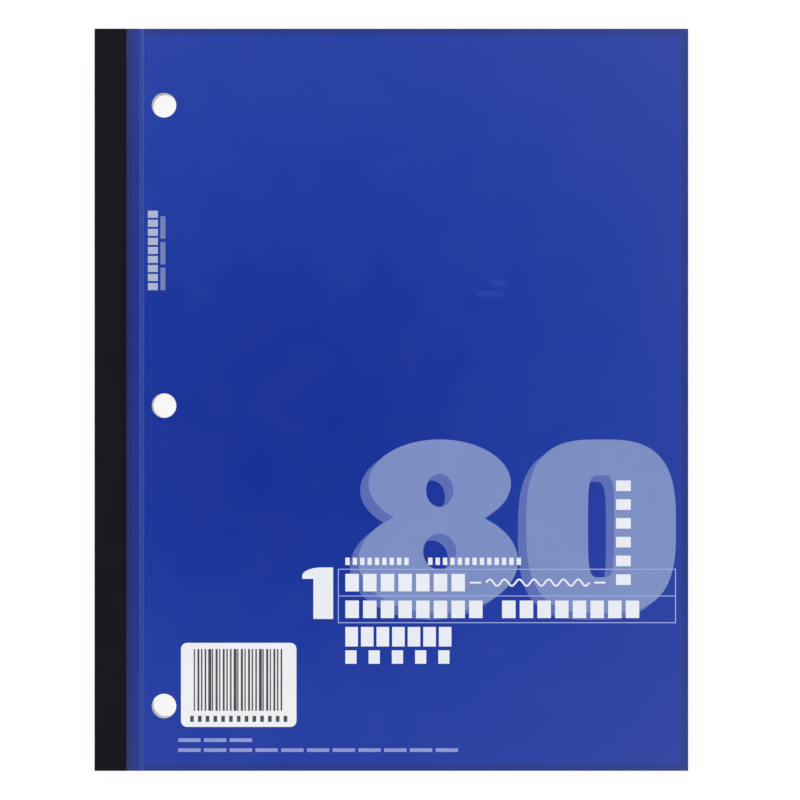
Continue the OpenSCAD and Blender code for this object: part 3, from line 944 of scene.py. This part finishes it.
class NOTEBOOK_OT_sheets(bpy.types.Operator):
    """Models the stack of punched and trimmed sheets"""

    bl_idname = "notebook.sheets"
    bl_label = "Sheets"
    bl_options = {"REGISTER", "UNDO"}

    def execute(self, context):
        look = context.scene.notebook_sheets
        deep = BLOCK_HIGH.z - BLOCK_LOW.z
        thick = deep / look.count
        top = Vector((BLOCK_HIGH.x, BLOCK_HIGH.y, BLOCK_LOW.z + thick))
        sheet = add_block("sheet", BLOCK_LOW, top)
        # Halfway up the block the cutters are sure to pass right through the sheet
        lift(sheet, deep / 2)
        cut_with(sheet, add_hole_cutter())
        cut_with(sheet, add_staple_cutter(play=0.02 * MM))
        lift(sheet, -deep / 2)
        smooth_rounds(sheet)
        stack = self.stack(sheet, look, thick)
        ruled = sheet_paper(look, "ruled_page", ruled=True)
        cut = sheet_paper(look, "cut_edge", ruled=False)
        give_materials(stack, [ruled, cut], lambda f: 0 if abs(f.normal.z) > 0.5 else 1)
        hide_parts("page_block")
        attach(stack, "bound_block")
        return {"FINISHED"}

    def stack(self, sheet, look, thick):
        """Lays copies of the sheet on each other, each trimmed a hair differently."""
        draw = random.Random(12)
        # Part of the trim wavers slowly through the stack, by this angle from sheet to sheet
        waver_share, waver_step = 0.4, 0.37
        wide = BLOCK_HIGH.x - BLOCK_LOW.x
        tall = BLOCK_HIGH.y - BLOCK_LOW.y
        copies = []
        for i in range(look.count):
            slow = waver_share * (0.5 + 0.5 * math.sin(i * waver_step))
            short = [look.scatter * (slow + (1 - waver_share) * draw.random()) for _ in range(2)]
            copy = sheet.copy()
            copy.data = sheet.data.copy()
            bpy.context.scene.collection.objects.link(copy)
            hold = Matrix.Translation((BLOCK_LOW.x, 0, i * thick))
            trim = Matrix.Diagonal((1 - short[0] / wide, 1 - short[1] / tall, 1, 1))
            copy.data.transform(hold @ trim @ Matrix.Translation((-BLOCK_LOW.x, 0, 0)))
            copies.append(copy)
        bpy.data.objects.remove(sheet)
        deselect()
        for copy in copies:
            copy.select_set(True)
        bpy.context.view_layer.objects.active = copies[0]
        bpy.ops.object.join()
        stack = bpy.context.object
        stack.name = "sheet_stack"
        return stack


class NOTEBOOK_OT_tape(bpy.types.Operator):
    """Models the cloth tape, wrapped from the front cover round the spine to the back cover"""

    bl_idname = "notebook.tape"
    bl_label = "Binding tape"
    bl_options = {"REGISTER", "UNDO"}

    def execute(self, context):
        look = context.scene.notebook_tape
        lap = TAPE_HIGH.x - TAPE_LOW.x - look.corner
        thick = TAPE_HIGH.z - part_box("front_cover_strip")[1].z
        tall = TAPE_HIGH.y - TAPE_LOW.y
        deselect()
        bpy.ops.mesh.primitive_plane_add(
            size=1, location=(TAPE_HIGH.x - lap / 2, (TAPE_LOW.y + TAPE_HIGH.y) / 2, TAPE_HIGH.z)
        )
        tape = bpy.context.object
        tape.name = "cloth_tape"
        tape.scale = (lap, tall, 1)
        bpy.ops.object.transform_apply()
        edit(tape)
        bend_x = TAPE_LOW.x + look.corner
        high_z = TAPE_HIGH.z - look.corner
        low_z = TAPE_LOW.z + look.corner
        self.turn(tape, look, (bend_x, TAPE_HIGH.z), (bend_x, high_z))
        self.pull((0, 0, low_z - high_z))
        self.turn(tape, look, (TAPE_LOW.x, low_z), (bend_x, low_z))
        self.pull((lap, 0, 0))
        bpy.ops.mesh.select_all(action="SELECT")
        bpy.ops.mesh.remove_doubles(threshold=TINY)
        bpy.ops.mesh.normals_make_consistent(inside=False)
        leave_edit()
        self.face_outwards(tape)
        apply_modifier(tape, "SOLIDIFY", thickness=thick, offset=-1, use_even_offset=True)
        soften_edges(tape, look.rim)
        smooth_rounds(tape)
        give_materials(tape, [black_cloth(look)])
        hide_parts("binding_tape")
        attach(tape, "bound_block")
        return {"FINISHED"}

    def turn(self, tape, look, edge, centre):
        """Spins an edge through a quarter turn round a corner of the spine, both given in X and Z."""
        pick_points(tape, lambda co: max(abs(co.x - edge[0]), abs(co.z - edge[1])) < TINY)
        bpy.ops.mesh.spin(
            steps=look.corner_steps, angle=math.pi / 2, center=(centre[0], 0, centre[1]), axis=(0, 1, 0)
        )

    def pull(self, way):
        """Extrudes the edge that is selected."""
        bpy.ops.mesh.extrude_region_move(TRANSFORM_OT_translate={"value": way})

    def face_outwards(self, tape):
        """Turns the faces round if the lap on the front doesn't face up."""
        lap = max(tape.data.polygons, key=lambda f: f.center.z)
        if lap.normal.z < 0:
            edit(tape)
            bpy.ops.mesh.select_all(action="SELECT")
            bpy.ops.mesh.flip_normals()
            leave_edit()


class NOTEBOOK_OT_staples(bpy.types.Operator):
    """Finishes the staples, whose crowns and clinched ends lie under the tape"""

    bl_idname = "notebook.staples"
    bl_label = "Staples"
    bl_options = {"REGISTER", "UNDO"}

    def execute(self, context):
        dress_node("staples", zinc_wire())
        return {"FINISHED"}


class NOTEBOOK_OT_print(bpy.types.Operator):
    """Finishes the inks on the front cover"""

    bl_idname = "notebook.print"
    bl_label = "Print"
    bl_options = {"REGISTER", "UNDO"}

    def execute(self, context):
        look = context.scene.notebook_ink
        gloss = context.scene.notebook_card.gloss
        dress_node("figure_print", ink("figure_ink", gloss, look.figure, look.figure_light))
        dress_node("figure_shade", ink("shade_ink", gloss, look.shade, look.shade_light))
        title = ink("title_ink", gloss, look.white, look.white_light, rule_accent(look))
        dress_node("title_print", title)
        small = ink("small_ink", gloss, look.small, look.small_light, side_accent(look))
        dress_node("small_print", small)
        dress_node("code_panel", ink("panel_ink", gloss, look.panel, look.panel_light))
        dress_node("code_bars", ink("stripe_ink", gloss, look.stripe, look.stripe_light))
        return {"FINISHED"}


class NOTEBOOK_OT_stage(bpy.types.Operator):
    """Sets the floor, the light tent, a soft lamp and the camera"""

    bl_idname = "notebook.stage"
    bl_label = "Stage"
    bl_options = {"REGISTER", "UNDO"}

    def execute(self, context):
        look = context.scene.notebook_stage
        self.floor(look)
        self.tent(context.scene, look)
        deselect()
        bpy.ops.object.light_add(type="AREA", location=look.lamp_place)
        lamp = context.object
        lamp.name = "soft_lamp"
        lamp.data.size = look.lamp_size
        lamp.data.energy = look.lamp_power
        lamp.rotation_euler = Vector(lamp.location).to_track_quat("Z", "Y").to_euler()
        self.camera(context.scene, look)
        context.scene.view_settings.view_transform = "Standard"
        return {"FINISHED"}

    def floor(self, look):
        """A pale floor, which looks white to the camera and keeps the object's shadow."""
        deselect()
        bpy.ops.mesh.primitive_plane_add(size=look.floor_size, location=(0, 0, -look.floor_drop))
        floor = bpy.context.object
        bpy.ops.object.transform_apply()
        floor.name = "floor"
        material, tree, shader = new_material("pale_floor")
        tree.nodes.remove(shader)
        plain = add_node(tree, "ShaderNodeBsdfDiffuse", {"Color": (*look.floor_colour, 1)})
        grey = 3 * (look.floor_faint,)
        faint = add_node(tree, "ShaderNodeBsdfDiffuse", {"Color": (*grey, 1)})
        glow = add_node(tree, "ShaderNodeEmission", {"Color": (1, 1, 1, 1), "Strength": look.floor_glow})
        white = add_node(tree, "ShaderNodeAddShader", {0: faint.outputs[0], 1: glow.outputs[0]})
        seen = has_to_look_white(tree)
        both = add_node(tree, "ShaderNodeMixShader", {0: seen, 1: plain.outputs[0], 2: white.outputs[0]})
        feed(tree, tree.nodes["Material Output"].inputs["Surface"], both.outputs[0])
        give_materials(floor, [material])

    def tent(self, scene, look):
        """A pale light tent, with the dark opening that the camera looks through."""
        world = bpy.data.worlds.new("light_tent")
        world.use_nodes = True
        scene.world = world
        tree = world.node_tree
        way = add_node(tree, "ShaderNodeTexCoord").outputs["Generated"]
        height = parts_of(tree, way)["Z"]
        opening = Vector((look.opening_lean, 0, 1)).normalized()
        towards = add_node(tree, "ShaderNodeVectorMath", {0: way, 1: opening}, operation="DOT_PRODUCT")
        rim, core = math.cos(look.opening_rim), math.cos(look.opening_core)
        closed = maths(tree, "SUBTRACT", 1, ramp(tree, towards.outputs["Value"], rim, core))
        climb = ramp(tree, height, 0, look.tent_rise)
        level = maths(tree, "MULTIPLY_ADD", climb, look.tent_top - look.tent_side, look.tent_side)
        level = maths(tree, "MULTIPLY", level, closed)
        lit = add_node(tree, "ShaderNodeBackground", {"Color": (1, 1, 1, 1), "Strength": level})
        white = add_node(tree, "ShaderNodeBackground", {"Color": (1, 1, 1, 1), "Strength": closed})
        seen = has_to_look_white(tree)
        both = add_node(tree, "ShaderNodeMixShader", {0: seen, 1: lit.outputs[0], 2: white.outputs[0]})
        feed(tree, tree.nodes["World Output"].inputs["Surface"], both.outputs[0])

    def camera(self, scene, look):
        """A camera that looks straight down on the front cover."""
        place = (look.view_x, look.view_y, PRINT_Z + look.camera_rise)
        bpy.ops.object.camera_add(location=place, rotation=(0, 0, 0))
        camera = bpy.context.object
        camera.name = "camera"
        camera.data.sensor_width = 36
        camera.data.lens = camera.data.sensor_width * look.camera_rise / look.view_width
        camera.data.clip_start = 0.01
        camera.data.clip_end = 20
        scene.camera = camera


OPERATORS = (
    NOTEBOOK_OT_covers,
    NOTEBOOK_OT_margins,
    NOTEBOOK_OT_sheets,
    NOTEBOOK_OT_tape,
    NOTEBOOK_OT_staples,
    NOTEBOOK_OT_print,
    NOTEBOOK_OT_stage,
)
SETTINGS = {
    "notebook_card": CardSettings,
    "notebook_sheets": SheetSettings,
    "notebook_tape": TapeSettings,
    "notebook_ink": InkSettings,
    "notebook_stage": StageSettings,
}


class NOTEBOOK_PT_panel(bpy.types.Panel):
    """Lists the notebook's settings and the steps that build it"""

    bl_label = "Taped Notebook"
    bl_space_type = "VIEW_3D"
    bl_region_type = "UI"
    bl_category = "Notebook"

    def draw(self, context):
        for setting, kind in SETTINGS.items():
            box = self.layout.box()
            for name in kind.__annotations__:
                box.prop(getattr(context.scene, setting), name)
        for operator in OPERATORS:
            self.layout.operator(operator.bl_idname)


def register():
    for kind in (*SETTINGS.values(), *OPERATORS, NOTEBOOK_PT_panel):
        bpy.utils.register_class(kind)
    for setting, kind in SETTINGS.items():
        setattr(bpy.types.Scene, setting, bpy.props.PointerProperty(type=kind))


def unregister():
    for setting in SETTINGS:
        delattr(bpy.types.Scene, setting)
    for kind in (NOTEBOOK_PT_panel, *OPERATORS, *SETTINGS.values()):
        bpy.utils.unregister_class(kind)


def main():
    register()
    bpy.ops.notebook.covers()
    bpy.ops.notebook.margins()
    bpy.ops.notebook.sheets()
    bpy.ops.notebook.tape()
    bpy.ops.notebook.staples()
    bpy.ops.notebook.print()
    bpy.ops.notebook.stage()


if __name__ == "__main__":
    main()
